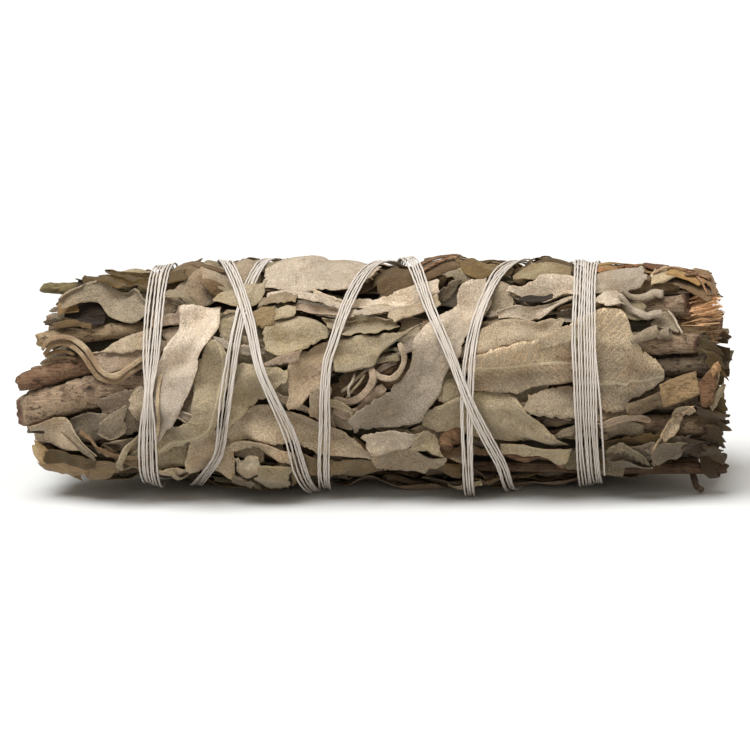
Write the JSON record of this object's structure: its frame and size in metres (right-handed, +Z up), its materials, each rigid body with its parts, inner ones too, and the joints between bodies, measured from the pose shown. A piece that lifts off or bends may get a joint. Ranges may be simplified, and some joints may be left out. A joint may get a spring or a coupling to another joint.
{
  "type": "dried herb bundle",
  "caption": "Hand-tied bundle of dried white sage for smudging: cut stems packed in crumpled felted leaves, wound with white cotton thread in crossing spirals.",
  "frame": {"origin": "on the surface that the bundle lies on, under the middle of its bounding box", "axes": "+X along the bundle, towards the end with the leaf tips; -Y is the front; +Z up"},
  "size_m": [0.102, 0.037, 0.0332],
  "materials": {
    "leaf_grey": "matte dry leaf, grey felt",
    "leaf_green": "matte dry leaf, grey-green felt",
    "leaf_pale": "matte dry leaf, pale silvery felt",
    "leaf_pink": "matte dry leaf, pinkish brown under thin felt",
    "leaf_brown": "matte dry leaf, brown",
    "leaf_olive": "matte dry leaf, olive brown",
    "stem_bark": "rough peeling bark",
    "stem_red": "smooth red-brown bark",
    "stem_tan": "matte dry stalk",
    "stem_wood": "split dry wood",
    "stem_green": "matte thin dry stalk",
    "packing": "matte crumpled dry leaves",
    "cotton": "matte twisted cotton thread"
  },
  "bodies": {
    "root": {"stem_left_gnarled": "stem_bark", "stem_left_red": "stem_red", "stem_left_tan": "stem_tan", "stem_left_top": "stem_green", "stem_right_pale": "stem_tan", "stem_right_grey": "stem_bark", "stem_right_split": "stem_wood", "stem_right_brown": "stem_bark", "stem_right_knotted": "stem_bark", "stem_right_tan": "stem_tan", "stem_right_low": "stem_bark", "stem_right_long": "stem_red", "stem_left_core": "stem_bark", "stem_left_low": "stem_tan", "stem_left_back_high": "stem_bark", "stem_left_back_low": "stem_red", "stem_right_core": "stem_red", "stem_right_back_high": "stem_bark", "stem_right_back_low": "stem_tan", "packing_leaves": "packing", "leaf_back_1_1": "leaf_olive", "leaf_back_1_2": "leaf_grey", "leaf_back_1_3": "leaf_grey", "leaf_back_2_1": "leaf_pink", "leaf_back_2_2": "leaf_pale", "leaf_back_2_3": "leaf_grey", "leaf_back_3_1": "leaf_grey", "leaf_back_3_2": "leaf_pink", "leaf_back_3_3": "leaf_pink", "leaf_back_4_1": "leaf_grey", "leaf_back_4_2": "leaf_pink", "leaf_back_4_3": "leaf_grey", "leaf_front_left_low": "leaf_grey", "leaf_front_left_mid": "leaf_pink", "leaf_front_left_high": "leaf_olive", "leaf_top_left": "leaf_olive", "leaf_front_far_right_low": "leaf_grey", "leaf_front_rolled": "leaf_pink", "leaf_front_under_left": "leaf_grey", "leaf_front_broad_low": "leaf_grey", "leaf_front_middle_low": "leaf_brown", "leaf_front_low_right_of_middle": "leaf_grey", "leaf_front_purple": "leaf_pink", "leaf_front_lumpy": "leaf_green", "leaf_front_triangle": "leaf_green", "leaf_front_rough": "leaf_green", "leaf_front_curled_edge": "leaf_green", "leaf_front_midrib_left": "leaf_green", "leaf_front_bright_left": "leaf_pale", "leaf_top_bright": "leaf_pale", "leaf_top_rolled": "leaf_pale", "leaf_front_grey_right": "leaf_grey", "leaf_front_pointed_right": "leaf_green", "leaf_front_upper_right": "leaf_pale", "leaf_front_above_midrib": "leaf_grey", "leaf_front_midrib_right": "leaf_grey", "leaf_front_far_right": "leaf_grey", "leaf_front_big_diagonal": "leaf_pale", "cotton_thread": "cotton"}
  },
  "joints": []
}
